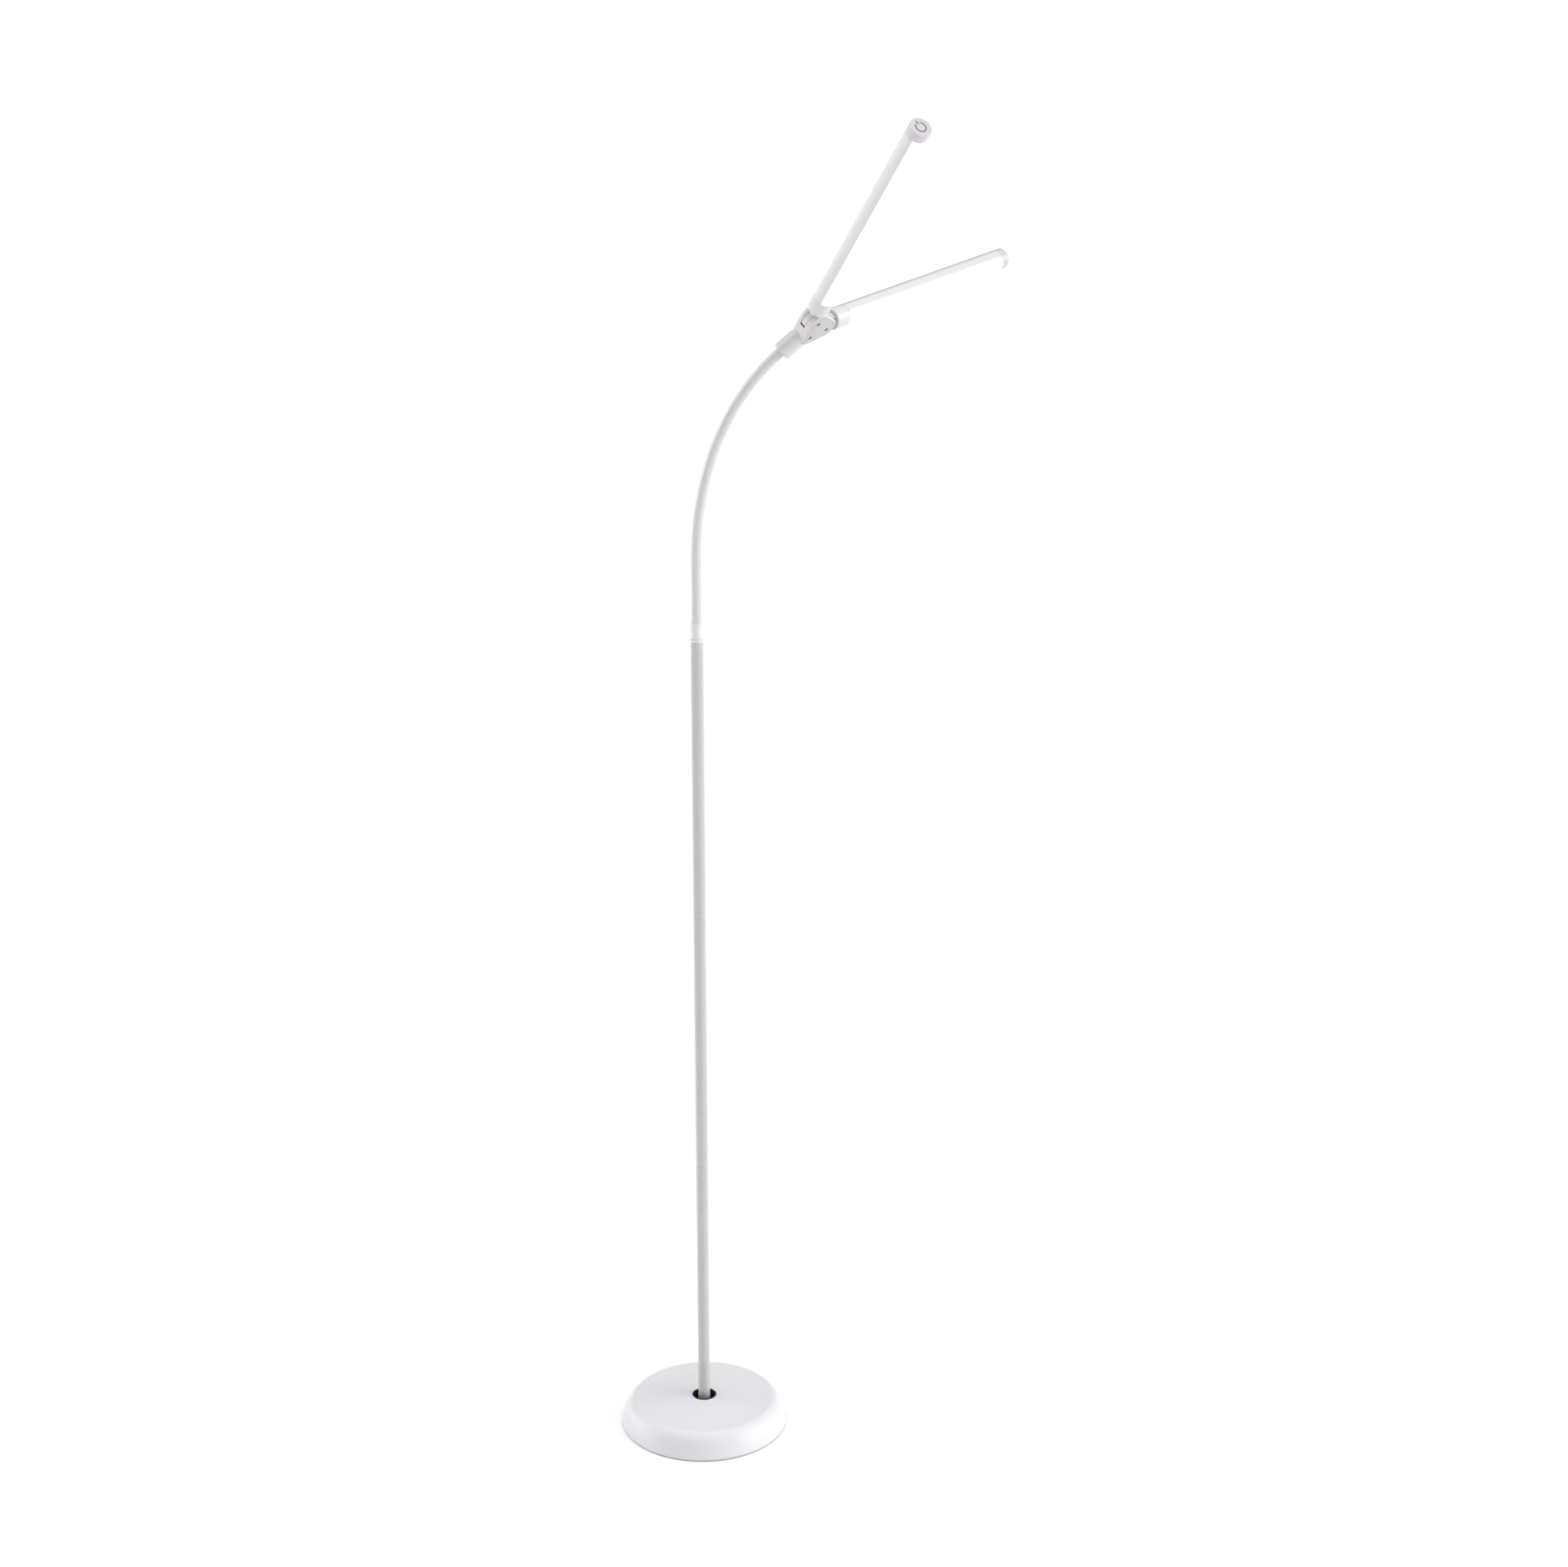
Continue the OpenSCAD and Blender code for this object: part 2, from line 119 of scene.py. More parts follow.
def volume_of(points, faces):
    """Six times the signed volume inside triangles fanned from each face's first corner."""
    centred = points - points.mean(0)
    total = 0.0
    for k in range(1, faces.shape[1] - 1):
        a, b, c = centred[faces[:, 0]], centred[faces[:, k]], centred[faces[:, k + 1]]
        total += np.einsum("ij,ij->i", a, np.cross(b, c)).sum()
    return total


def grid_faces(rows, cols, wrap_rows):
    """Quads of a grid whose point (i, j) has index i * cols + j and whose columns close up."""
    i = np.arange(rows if wrap_rows else rows - 1)
    i, j = (a.ravel() for a in np.meshgrid(i, np.arange(cols), indexing="ij"))
    i2, j2 = (i + 1) % rows, (j + 1) % cols
    return np.stack([i * cols + j, i2 * cols + j, i2 * cols + j2, i * cols + j2], 1)


def surface(name, grid, material, wrap_rows=False, ends="open", sharp=35):
    """Mesh of a grid of points, rows x columns x 3, as quads. Each row is a closed ring.

    ends is open, flat (each end row is closed by one face) or pole (each end row is closed to its middle).
    Faces are turned outwards by the sign of the volume that they enclose.
    """
    rows, cols = grid.shape[:2]
    points = grid.reshape(-1, 3)
    faces = grid_faces(rows, cols, wrap_rows)
    extra = []
    if ends == "pole":
        first, last = len(points), len(points) + 1
        points = np.vstack([points, grid[0].mean(0), grid[-1].mean(0)])
        j = np.arange(cols)
        k = (j + 1) % cols
        tail = (rows - 1) * cols
        extra = np.vstack([
            np.stack([np.full(cols, first), j, k], 1),
            np.stack([np.full(cols, last), tail + k, tail + j], 1),
        ])
    if volume_of(points, faces) < 0:
        faces = faces[:, ::-1]
        extra = extra[:, ::-1] if len(extra) else extra
    lists = faces.tolist() + (extra.tolist() if len(extra) else [])
    if ends == "flat":
        tail = (rows - 1) * cols
        ring = list(range(cols))
        outward = points[ring].mean(0) - grid[1].mean(0)
        turn = np.cross(points[ring[0]] - points[ring].mean(0), points[ring[1]] - points[ring].mean(0))
        first_cap = ring if turn @ outward > 0 else ring[::-1]
        lists.append(first_cap)
        lists.append([tail + v for v in first_cap[::-1]])
    mesh = bpy.data.meshes.new(name)
    mesh.from_pydata(points.tolist(), [], lists)
    mesh.update()
    mesh.shade_smooth()
    mesh.set_sharp_from_angle(angle=math.radians(sharp))
    piece = bpy.data.objects.new(name, mesh)
    bpy.context.scene.collection.objects.link(piece)
    mesh.materials.append(material)
    return piece


def arc(centre, radius, start, end, count):
    """Points [a, b] on a round arc in a plane, angles in degrees."""
    t = np.radians(np.linspace(start, end, count))
    return np.stack([centre[0] + radius * np.cos(t), centre[1] + radius * np.sin(t)], 1)


def rounded(corners, radii, count=6):
    """Closed outline through corners [a, b], each cut by a round arc of its own radius.

    The arc at a corner touches both sides; its middle lies on the corner's bisector.
    """
    corners = np.asarray(corners, float)
    out = []
    for k in range(len(corners)):
        p, q, r = corners[k - 1], corners[k], corners[(k + 1) % len(corners)]
        a, b = unit(p - q), unit(r - q)
        half = math.acos(np.clip(a @ b, -1, 1)) / 2
        back = radii[k] / math.tan(half)
        middle = q + unit(a + b) * radii[k] / math.sin(half)
        t0, t1 = q + a * back - middle, q + b * back - middle
        start = math.atan2(t0[1], t0[0])
        sweep = (math.atan2(t1[1], t1[0]) - start + math.pi) % (2 * math.pi) - math.pi
        out.append(arc(middle, radii[k], math.degrees(start), math.degrees(start + sweep), count))
    return np.vstack(out)


def turned(name, profile, place, material, count=96, along="z", ends="pole", sweep=None, sharp=35):
    """Profile [radius, height] turned about an axis of the frame place.

    A point of the profile goes to radius * (cos a, sin a) across the axis and to its height along it.
    sweep limits the angle to (from, to) in degrees, and the profile is then a closed outline.
    ends as in surface(); "loop" is a closed outline too.
    """
    profile = np.asarray(profile, float)
    full = sweep is None
    a = np.radians(np.linspace(0, 360, count, endpoint=False) if full else np.linspace(*sweep, count))
    r, h = profile[:, :1], np.repeat(profile[:, 1:], count, 1)
    if along == "z":
        grid = np.stack([r * np.cos(a), r * np.sin(a), h], -1)
    else:  # along x, with angle 0 towards -z
        grid = np.stack([h, r * np.sin(a), -r * np.cos(a)], -1)
    grid = moved(place, grid)
    if not full:
        return surface(name, np.swapaxes(grid, 0, 1), material, ends="flat", sharp=sharp)
    if ends == "loop":
        return surface(name, grid, material, wrap_rows=True, sharp=sharp)
    return surface(name, grid, material, ends=ends, sharp=sharp)


def stack(name, outlines, heights, place, material, sharp=35):
    """Outlines [x, y], one per height, joined up the frame's Z and closed at both ends to their middles."""
    grid = np.stack([np.column_stack([o, np.full(len(o), h)]) for o, h in zip(outlines, heights)])
    return surface(name, moved(place, grid), material, ends="pole", sharp=sharp)


def drawn_in(outline, inset):
    """Closed outline moved inwards by inset along its normals, its tangents turned by 90 degrees."""
    tangent = np.roll(outline, -1, 0) - np.roll(outline, 1, 0)
    tangent /= np.linalg.norm(tangent, axis=1, keepdims=True)
    following = np.roll(outline, -1, 0)
    turning = np.sign(np.sum(outline[:, 0] * following[:, 1] - outline[:, 1] * following[:, 0]))
    return outline + inset * turning * np.stack([-tangent[:, 1], tangent[:, 0]], 1)


def cut(piece, cutters, sharp=35):
    """Takes the cutters' solids out of a piece and keeps the result as its mesh."""
    for cutter in cutters:
        modifier = piece.modifiers.new("cut", "BOOLEAN")
        modifier.operation, modifier.solver, modifier.object = "DIFFERENCE", "EXACT", cutter
    result = bpy.data.meshes.new_from_object(piece.evaluated_get(bpy.context.evaluated_depsgraph_get()))
    piece.modifiers.clear()
    piece.data = result
    result.name = piece.name
    result.shade_smooth()
    result.set_sharp_from_angle(angle=math.radians(sharp))
    for cutter in cutters:
        bpy.data.objects.remove(cutter)
    return piece


def painted(piece, material, towards):
    """Gives a second material to the faces that look towards a direction."""
    mesh = piece.data
    mesh.materials.append(material)
    normals = np.empty(3 * len(mesh.polygons), np.float32)
    mesh.polygons.foreach_get("normal", normals)
    looks_there = normals.reshape(-1, 3) @ towards > 0.95
    index = np.where(looks_there, len(mesh.materials) - 1, 0).astype(np.int32)
    mesh.polygons.foreach_set("material_index", index)
    return piece


def fitted(piece, body, finish, *stands_for):
    """Rides a piece on a body and the CAD nodes that it replaces."""
    if body:
        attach(piece, body)
    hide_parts(*stands_for)
    return piece


# ---------------------------------------------------------------- materials

def shader(name, colour, roughness, metallic=0.0, coat=0.0):
    """New material with a Principled shader: constants sit on the shader's own sockets."""
    material = bpy.data.materials.new(name)
    material.use_nodes = True
    tree = material.node_tree
    bsdf = tree.nodes["Principled BSDF"]
    bsdf.inputs["Base Color"].default_value = (*colour, 1)
    bsdf.inputs["Roughness"].default_value = roughness
    bsdf.inputs["Metallic"].default_value = metallic
    bsdf.inputs["Coat Weight"].default_value = coat
    bsdf.inputs["Coat Roughness"].default_value = 0.08
    return material, tree, bsdf


def noise(tree, scale, detail=3.0, stretch=(1, 1, 1)):
    """Noise on Object coordinates, stretched by a Mapping node."""
    coord = tree.nodes.new("ShaderNodeTexCoord")
    mapping = tree.nodes.new("ShaderNodeMapping")
    mapping.inputs["Scale"].default_value = stretch
    texture = tree.nodes.new("ShaderNodeTexNoise")
    texture.inputs["Scale"].default_value = scale
    texture.inputs["Detail"].default_value = detail
    tree.links.new(coord.outputs["Object"], mapping.inputs["Vector"])
    tree.links.new(mapping.outputs["Vector"], texture.inputs["Vector"])
    return texture.outputs["Fac"]


def spread(tree, source, low_value, high_value, start=0.3, end=0.7):
    """Stretches the part of a pattern between start and end to a range."""
    node = tree.nodes.new("ShaderNodeMapRange")
    node.inputs["From Min"].default_value, node.inputs["From Max"].default_value = start, end
    node.inputs["To Min"].default_value, node.inputs["To Max"].default_value = low_value, high_value
    tree.links.new(source, node.inputs["Value"])
    return node.outputs["Result"]


def mixed(tree, pattern, colour_a, colour_b):
    """Colour that goes from a to b with a pattern."""
    node = tree.nodes.new("ShaderNodeMix")
    node.data_type = "RGBA"
    node.inputs[6].default_value = (*colour_a, 1)
    node.inputs[7].default_value = (*colour_b, 1)
    tree.links.new(pattern, node.inputs[0])
    return node.outputs[2]


def bumped(tree, bsdf, source, height):
    """Bump of a given height in metres."""
    node = tree.nodes.new("ShaderNodeBump")
    node.inputs["Strength"].default_value = 1.0
    node.inputs["Distance"].default_value = height
    tree.links.new(source, node.inputs["Height"])
    tree.links.new(node.outputs["Normal"], bsdf.inputs["Normal"])


def varied(name, colour, swing, roughness, rough_swing, grain, grain_height, metallic=0.0, coat=0.0,
           patch=9.0, stretch=(1, 1, 1)):
    """Surface whose colour and roughness drift in broad patches, under a fine grain of bump.

    colour * (1 - swing .. 1) and roughness -/+ rough_swing follow one broad noise of scale patch;
    grain is the fine noise's scale per metre and grain_height its depth in metres.
    """
    material, tree, bsdf = shader(name, colour, roughness, metallic, coat)
    broad = noise(tree, patch, 4.0, stretch)
    darker = tuple(c * (1 - swing) for c in colour)
    tree.links.new(mixed(tree, spread(tree, broad, 0, 1), darker, colour), bsdf.inputs["Base Color"])
    fine = noise(tree, grain, 2.0, stretch)
    both = tree.nodes.new("ShaderNodeMath")
    both.operation = "MULTIPLY"
    tree.links.new(spread(tree, broad, 0.85, 1.15), both.inputs[0])
    tree.links.new(spread(tree, fine, roughness - rough_swing, roughness + rough_swing), both.inputs[1])
    tree.links.new(both.outputs["Value"], bsdf.inputs["Roughness"])
    bumped(tree, bsdf, fine, grain_height)
    return material


enamel = varied("white_enamel", (0.705, 0.71, 0.73), 0.02, 0.40, 0.04, 700, 0.00004, coat=0.08)
# The base's white enamel painted darker for the pole's tubes: the lower tone is painted shade, not another
# paint.
pole_painted_shade_enamel = varied("white_pole_painted_shade_enamel", (0.50, 0.49, 0.495), 0.02, 0.28, 0.03, 700, 0.00003, coat=1.0)
arm_enamel = varied("white_arm_enamel", (0.66, 0.65, 0.645), 0.02, 0.30, 0.03, 700, 0.00003, coat=0.7)
gloss_plastic = varied("white_gloss_plastic", (0.64, 0.62, 0.635), 0.025, 0.24, 0.03, 1200, 0.00002,
                       coat=0.25)
cap_plastic = varied("pale_cap_plastic", (0.58, 0.555, 0.595), 0.04, 0.30, 0.04, 1400, 0.00002, coat=0.2)
# Darker grey of the hub's underside: painted shade on the faces that look down from the head.
underside_painted_shade_plastic = varied("hub_underside_painted_shade", (0.44, 0.42, 0.43), 0.03, 0.34, 0.04, 1200, 0.00002, coat=0.1)
sleeve_silicone = varied("white_silicone", (0.61, 0.60, 0.605), 0.03, 0.36, 0.05, 1500, 0.00003, coat=0.8)
nickel = varied("satin_nickel", (0.62, 0.60, 0.57), 0.10, 0.24, 0.06, 2500, 0.00001, metallic=1.0,
                stretch=(1, 1, 12))
brushed_nickel = varied("brushed_nickel", (0.50, 0.47, 0.43), 0.12, 0.42, 0.06, 2500, 0.00001, metallic=0.35,
                        stretch=(1, 1, 12))
zinc_steel = varied("zinc_steel", (0.52, 0.53, 0.55), 0.15, 0.36, 0.08, 900, 0.00002, metallic=1.0, patch=60)
dark_steel = varied("blackened_steel", (0.018, 0.016, 0.016), 0.2, 0.55, 0.08, 900, 0.00002, patch=60)
cast_iron = varied("cast_iron", (0.06, 0.06, 0.065), 0.35, 0.72, 0.10, 420, 0.0004, patch=25)
foam_rubber = varied("black_foam_rubber", (0.022, 0.022, 0.025), 0.3, 0.80, 0.08, 1600, 0.00025, patch=40)
black_plastic = varied("black_plastic", (0.012, 0.012, 0.014), 0.25, 0.45, 0.08, 1800, 0.00005, patch=40)
white_board = varied("white_board", (0.75, 0.75, 0.73), 0.06, 0.35, 0.05, 900, 0.00002, patch=60)
green_board = varied("green_board", (0.02, 0.12, 0.05), 0.30, 0.32, 0.06, 600, 0.00004, patch=120)
lead_skin = varied("black_lead", (0.014, 0.014, 0.015), 0.2, 0.5, 0.06, 1500, 0.00004, patch=60)
mark_grey = varied("mark_grey", (0.055, 0.05, 0.065), 0.06, 0.4, 0.05, 1500, 0.00001, patch=300)


def lit(name, colour, strength, grain):
    """Opal surface that glows evenly, with a faint mottle."""
    material, tree, bsdf = shader(name, colour, 0.35)
    mottle = noise(tree, grain, 3.0)
    glow = mixed(tree, spread(tree, mottle, 0, 1), tuple(c * 0.97 for c in colour), colour)
    tree.links.new(glow, bsdf.inputs["Emission Color"])
    tree.links.new(spread(tree, mottle, 0.30, 0.40), bsdf.inputs["Roughness"])
    bsdf.inputs["Emission Strength"].default_value = strength
    bumped(tree, bsdf, mottle, 0.00001)
    return material


opal = lit("opal_diffuser", (1.0, 0.99, 0.98), 1.1, 600)
led_chip = lit("lit_chips", (1.0, 0.93, 0.72), 3.0, 900)

CAD_FINISH = {
    "base_pad": foam_rubber, "base_plate": zinc_steel, "base_weight": cast_iron, "base_shell": enamel,
    "base_screws": zinc_steel, "recess_cup": black_plastic, "pole_stub": brushed_nickel,
    "stub_nut": nickel, "dc_inlet": black_plastic,
    # The pole's tubes take the darker copy of the white enamel, which is painted shade.
    "pole_lower": pole_painted_shade_enamel, "pole_middle": pole_painted_shade_enamel, "pole_upper": pole_painted_shade_enamel,
    "coupler_lower": zinc_steel, "coupler_upper": zinc_steel,
    "pole_ring": enamel, "neck_connector": enamel, "pole_lead": lead_skin,
    "neck_root": sleeve_silicone, "neck_ferrule": nickel, "neck_collar": gloss_plastic,
    # The hub cover takes the darker grey, which is painted shade on the hub's underside.
    "hub_body": gloss_plastic, "hub_cover": underside_painted_shade_plastic, "hub_screws": dark_steel,
    "pivot_bushes": zinc_steel, "friction_washers": black_plastic, "control_board": green_board,
    "touch_sensor": green_board, "touch_symbol": mark_grey,
}
ARM_FINISH = {
    "knuckle": gloss_plastic, "sleeve": gloss_plastic, "shell": arm_enamel, "lens": opal,
    "led_board": white_board, "leds": led_chip, "lead": lead_skin, "end_cap": cap_plastic,
}
CAD_FINISH.update({f"arm_{n}_{piece}": m for n in (1, 2) for piece, m in ARM_FINISH.items()})
for node_name, node_object in nodes.items():
    finish = CAD_FINISH.get(node_name, sleeve_silicone)  # the neck's links are not listed
    node_object.data.materials.clear()
    node_object.data.materials.append(finish)


# ---------------------------------------------------------------- base and pole

def ring_profile(bore, radius, bottom, top, edge, count=4):
    """Closed outline [r, z] of a tube whose outer edges are rounded by edge."""
    return np.vstack([
        [[bore, bottom]],
        arc((radius - edge, bottom + edge), edge, -90, 0, count),
        arc((radius - edge, top - edge), edge, 0, 90, count),
        [[bore, top]],
    ])


BASE_R, SHOULDER_W, SHOULDER_H, CROWN, BASE_WALL = 110 * MM, 22 * MM, 41.6 * MM, 4.2 * MM, 2.2 * MM
INLET_NOSE_R, INLET_BORE_R, INLET_DEPTH = 5 * MM, 2.8 * MM, 10 * MM
POLE_BORE_R, LEAD_HOLE_R, STEM_R = 6.6 * MM, 3 * MM, 5 * MM
RECESS_R = high("recess_cup", 0) + 0.1 * MM


def dome_line(inset, last_r):
    """Half outline [r, z] of the base, from its foot to radius last_r.

    The shoulder is a quarter ellipse, cut off at the foot, and the crown above it a half wave of a cosine.
    """
    foot = low("base_shell")
    top = high("base_shell") - CROWN - inset
    edge = math.asin((foot - (high("base_shell") - CROWN) + SHOULDER_H) / SHOULDER_H)
    flat_r = BASE_R - SHOULDER_W * math.cos(edge) - inset
    start = math.asin((foot - top + SHOULDER_H) / SHOULDER_H)
    t = np.linspace(start, math.pi / 2, 40)
    shoulder = np.stack([flat_r + SHOULDER_W * np.cos(t), top - SHOULDER_H + SHOULDER_H * np.sin(t)], 1)
    r = np.linspace(flat_r, last_r, 30)[1:]
    return np.vstack([shoulder, np.stack([r, top + CROWN * (1 + np.cos(math.pi * r / flat_r)) / 2], 1)])


def base():
    lip = 1.1 * MM
    outer = dome_line(0, RECESS_R + lip)
    edge = arc((RECESS_R + lip, outer[-1, 1] - lip), lip, 90, 180, 8)[1:]
    inner = dome_line(BASE_WALL, RECESS_R)[::-1]
    outline = np.vstack([outer, edge, inner])
    shell = turned("lamp_base_shell", outline, STAND, enamel, 192, ends="loop", sharp=40)
    inlet_z = (low("dc_inlet") + high("dc_inlet")) / 2
    hole = placed((0, BASE_R - 20 * MM, inlet_z), (0, 1, 0), (1, 0, 0))
    hole_r = INLET_NOSE_R + 0.3 * MM
    drill = turned("drill", [[hole_r, 0], [hole_r, 40 * MM]], hole, enamel, 64, along="x")
    fitted(cut(shell, [drill]), "stand", "white_paint", "base_shell")

    mouth = high("dc_inlet", 1)
    barrel = np.vstack([
        [[INLET_BORE_R, mouth - INLET_DEPTH], [INLET_NOSE_R, mouth - INLET_DEPTH]],
        arc((INLET_NOSE_R - 0.5 * MM, mouth - 0.5 * MM), 0.5 * MM, 0, 90, 5),
        arc((INLET_BORE_R + 0.4 * MM, mouth - 0.4 * MM), 0.4 * MM, 90, 180, 5),
    ])
    at_inlet = placed((0, 0, inlet_z), (0, 1, 0), (1, 0, 0))
    fitted(turned("lamp_inlet_barrel", barrel, at_inlet, black_plastic, 64, along="x", ends="loop"),
           "stand", "black_plastic", "dc_inlet")

    bottom, top = low("recess_cup"), high("recess_cup")
    wall, rim, corner, stub_hole_r = 1.4 * MM, 0.5 * MM, 1.5 * MM, 8.1 * MM
    r, floor_z = RECESS_R - 0.1 * MM, bottom + 1.5 * MM
    cup = np.vstack([
        [[r, bottom]],
        arc((r - rim, top - rim), rim, 0, 90, 5),
        arc((r - wall + 0.4 * MM, top - 0.4 * MM), 0.4 * MM, 90, 180, 4),
        arc((r - wall - corner, floor_z + corner), corner, 0, -90, 6),
        [[stub_hole_r, floor_z], [stub_hole_r, bottom]],
    ])
    fitted(turned("lamp_recess_cup", cup, STAND, black_plastic, 96, ends="loop"),
           "stand", "black_plastic", "recess_cup")


def pole():
    pole_r, shoulder = high("pole_lower", 0), low("pole_lower")
    stub = np.vstack([
        ring_profile(LEAD_HOLE_R, pole_r, low("recess_cup"), shoulder, 0.3 * MM)[:-1],
        [[POLE_BORE_R, shoulder], [POLE_BORE_R, high("pole_stub")], [LEAD_HOLE_R, high("pole_stub")]],
    ])
    fitted(turned("lamp_pole_stub", stub, STAND, brushed_nickel, 96, ends="loop"),
           "stand", "nickel", "pole_stub")
    for part in ("lower", "middle", "upper"):
        node = f"pole_{part}"
        tube = ring_profile(POLE_BORE_R, pole_r, low(node), high(node), 0.35 * MM)
        long_wall = np.linspace(tube[4], tube[5], 30)[1:-1]
        tube = np.vstack([tube[:5], long_wall, tube[5:]])
        # Each tube wears the darker copy of the white enamel: painted shade on the pole.
        fitted(turned(f"lamp_{node}", tube, STAND, pole_painted_shade_enamel, 96, ends="loop"),
               "stand", "white_paint", node)
    ring_r, step, seat = high("pole_ring", 0), low("pole_ring"), high("pole_ring")
    ring = ring_profile(STEM_R, ring_r, step, seat, 0.8 * MM, 6)
    fitted(turned("lamp_pole_ring", ring, STAND, enamel, 96, ends="loop"),
           "stand", "white_paint", "pole_ring")
    top, root = high("neck_connector"), low("neck_connector")
    connector = np.vstack([
        [[LEAD_HOLE_R, root], [POLE_BORE_R, root], [POLE_BORE_R, step], [STEM_R, step], [STEM_R, seat]],
        ring_profile(LEAD_HOLE_R, high("neck_connector", 0), seat, top, 0.6 * MM, 5)[1:],
    ])
    fitted(turned("lamp_neck_connector", connector, STAND, enamel, 96, ends="loop"),
           "stand", "white_paint", "neck_connector")


# ---------------------------------------------------------------- gooseneck

NECK_L, NECK_STRAIGHT, BEND_POWER = 360 * MM, 68 * MM, 1.27
NECK_R, FLARE_R, FLARE_L = 6.3 * MM, 7.0 * MM, 9 * MM
neck_tilt = math.atan2(head_axis[0], head_axis[2])
fine_s = np.linspace(0, NECK_L + 5 * MM, 3651)
fine_tilt = neck_tilt * np.clip((fine_s - NECK_STRAIGHT) / (NECK_L - NECK_STRAIGHT), 0, 1) ** BEND_POWER


def summed(values):
    """Running integral along fine_s by the trapezium rule."""
    return np.concatenate([[0], np.cumsum((values[1:] + values[:-1]) / 2 * np.diff(fine_s))])


neck_x = summed(np.sin(fine_tilt))
neck_z = high("neck_connector") + summed(np.cos(fine_tilt))


def neck_centre(s):
    """Point of the neck's centreline at distance s from its foot."""
    return np.stack([np.interp(s, fine_s, neck_x), np.zeros_like(s), np.interp(s, fine_s, neck_z)], -1)


def neck_skin(name, start, end):
    """Sleeve between two distances: a circle carried square to the centreline, wider at the foot.

    The foot's flare falls from FLARE_R to NECK_R as half a wave of a cosine over FLARE_L.
    """
    s = np.linspace(start, end, max(3, int((end - start) / (1.25 * MM))))
    a = np.linspace(0, 2 * math.pi, 64, endpoint=False)
    radius = NECK_R + (FLARE_R - NECK_R) * (1 + np.cos(math.pi * np.clip(s / FLARE_L, 0, 1))) / 2
    tilt = np.interp(s, fine_s, fine_tilt)
    across = np.stack([np.cos(tilt), np.zeros_like(s), -np.sin(tilt)], -1)
    ring = np.cos(a)[None, :, None] * across[:, None] + np.sin(a)[None, :, None] * np.array([0, 1, 0])
    return surface(name, neck_centre(s)[:, None] + radius[:, None, None] * ring, sleeve_silicone, ends="pole")


def neck():
    hinges = sorted((j for j in frame["joints"] if j["child"].startswith("neck_")),
                    key=lambda j: int(j["child"][5:]))
    at = np.interp([j["pos_m"][2] for j in hinges], neck_z, fine_s)
    half = (at[1] - at[0]) / 2
    fitted(neck_skin("lamp_neck_skin_root", 0, at[0] - half), "stand", "sleeve_white", "neck_root")
    for k, joint in enumerate(hinges):
        piece = neck_skin(f"lamp_neck_skin_{k + 1}", at[k] - half, at[k] + half)
        fitted(piece, None, "sleeve_white", f"neck_link_{k + 1}")
        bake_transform(piece)
    last = hinges[-1]["child"]
    tip = neck_skin("lamp_neck_skin_tip", at[-1] + half, NECK_L + 4 * MM)
    fitted(tip, last, "sleeve_white", f"neck_link_{len(hinges)}")


# ---------------------------------------------------------------- head

HUB_H, SLOT, SLOT_REACH, CORNER_R, BACK = 10.8 * MM, 4 * MM, 16.3 * MM, 15 * MM, -14 * MM
COLLAR_R, COLLAR_L, COLLAR_EARS = 11.5 * MM, 26 * MM, 5.4 * MM
SCREW_X, SCREW_R, SCREW_HEAD_R, SCREW_HEAD_H = -2.6 * MM, 1.5 * MM, 2.5 * MM, 2.8 * MM
COUNTERBORE_R, COUNTERBORE_DEPTH = 2.75 * MM, 3.2 * MM
# The hub's sides are the lines y = +/-(x + side_offset)
side_offset = pivot_y - pivot_x + CORNER_R * math.sqrt(2)


def hub_outline(inset):
    """Outline of the hub from above, drawn in by inset: a trapezium with round corners about the pivots."""
    front, back = pivot_x + CORNER_R - inset, BACK + inset
    side = side_offset - inset * math.sqrt(2)
    corners = [(front, -front - side), (front, front + side), (back, back + side), (back, -back - side)]
    small = max(1.5 * MM - inset, 0.25 * MM)
    return rounded(corners, [CORNER_R - inset, CORNER_R - inset, small, small], 20)


def hub_halves():
    """Upper half with a round top edge, core behind the slot, and cover with bevelled edges."""
    top_round, bevel = 5 * MM, 1.2 * MM
    t = np.radians(np.linspace(0, 90, 12))
    insets = np.concatenate([[0], top_round * (1 - np.cos(t))])
    heights = np.concatenate([[SLOT], HUB_H - top_round * (1 - np.sin(t))])
    upper = stack("lamp_hub_upper", [hub_outline(i) for i in insets], heights, HEAD, gloss_plastic, 30)
    fitted(upper, "head", "white_plastic", "hub_body")

    along = math.sqrt(SLOT_REACH ** 2 - CORNER_R ** 2)
    foot = np.array([pivot_x, pivot_y]) + CORNER_R * np.array([-1, 1]) / math.sqrt(2)
    meet = foot - along * np.array([1, 1]) / math.sqrt(2)
    first = math.degrees(math.atan2(meet[1] - pivot_y, meet[0] - pivot_x))
    nose = math.degrees(math.atan2(-pivot_y, -math.sqrt(SLOT_REACH ** 2 - pivot_y ** 2))) % 360
    curve = arc((pivot_x, pivot_y), SLOT_REACH, first, nose, 24)
    back = np.array([(BACK, -BACK - side_offset), (BACK, BACK + side_offset)])
    core = np.vstack([back, curve, (curve * [1, -1])[::-1][1:]])
    fitted(stack("lamp_hub_core", [core, core], [-SLOT, SLOT], HEAD, gloss_plastic, 30),
           "head", "white_plastic", "hub_body")

    insets = [0.35 * MM, 0.1 * MM, 0, 0, 0.15 * MM, bevel * 0.5, bevel, bevel + 0.25 * MM]
    heights = [-SLOT, -SLOT - 0.1 * MM, -SLOT - 0.35 * MM, -HUB_H + bevel + 0.3 * MM,
               -HUB_H + bevel - 0.1 * MM, -HUB_H + bevel * 0.5, -HUB_H + 0.1 * MM, -HUB_H]
    return stack("lamp_hub_cover", [hub_outline(i) for i in insets], heights, HEAD, gloss_plastic, 50)


